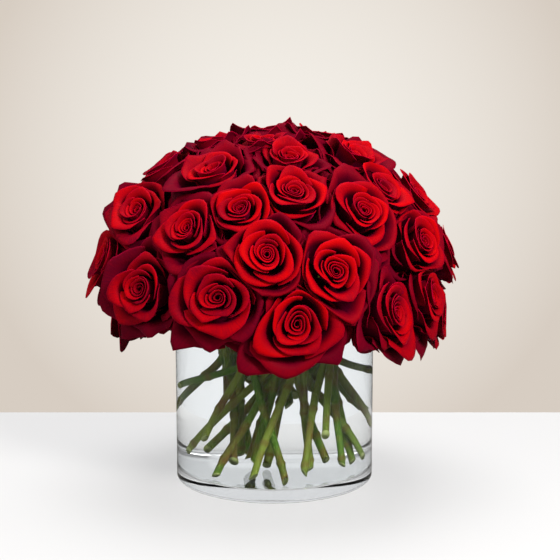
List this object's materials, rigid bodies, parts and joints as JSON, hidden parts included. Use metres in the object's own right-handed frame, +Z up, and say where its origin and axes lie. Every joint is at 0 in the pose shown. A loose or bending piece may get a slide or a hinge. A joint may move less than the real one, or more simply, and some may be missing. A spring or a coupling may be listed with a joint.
{
  "type": "rose bouquet in a glass vase",
  "caption": "Full dome of red roses standing in a clear glass cylinder vase of water, stems crossing below the neck.",
  "frame": {"origin": "centre of the vase's underside, where it stands on the table", "axes": "+Z up through the vase, -Y towards the front of the bouquet, +X to the right as seen from the front"},
  "size_m": [0.3358, 0.3166, 0.3188],
  "materials": {
    "glass": "gloss",
    "water": "gloss",
    "stems": "satin",
    "petals": "matte"
  },
  "bodies": {
    "root": {"vase": "glass", "water": "water", "stems_01": "stems", "stems_02": "stems", "stems_03": "stems", "stems_04": "stems", "stems_05": "stems", "stems_06": "stems", "stems_07": "stems", "stems_08": "stems", "stems_09": "stems", "stems_10": "stems", "stems_11": "stems", "stems_12": "stems", "bloom_01": "petals", "bloom_02": "petals", "bloom_03": "petals", "bloom_04": "petals", "bloom_05": "petals", "bloom_06": "petals", "bloom_07": "petals", "bloom_08": "petals", "bloom_09": "petals", "bloom_10": "petals", "bloom_11": "petals", "bloom_12": "petals", "bloom_13": "petals", "bloom_14": "petals", "bloom_15": "petals", "bloom_16": "petals", "bloom_17": "petals", "bloom_18": "petals", "bloom_19": "petals", "bloom_20": "petals", "bloom_21": "petals", "bloom_22": "petals", "bloom_23": "petals", "bloom_24": "petals", "bloom_25": "petals", "bloom_26": "petals", "bloom_27": "petals", "bloom_28": "petals", "bloom_29": "petals", "bloom_30": "petals", "bloom_31": "petals", "bloom_32": "petals", "bloom_33": "petals", "bloom_34": "petals", "bloom_35": "petals", "bloom_36": "petals", "bloom_37": "petals", "bloom_38": "petals", "bloom_39": "petals", "bloom_40": "petals", "bloom_41": "petals", "bloom_42": "petals", "bloom_43": "petals", "bloom_44": "petals", "bloom_45": "petals", "bloom_46": "petals"}
  },
  "joints": []
}
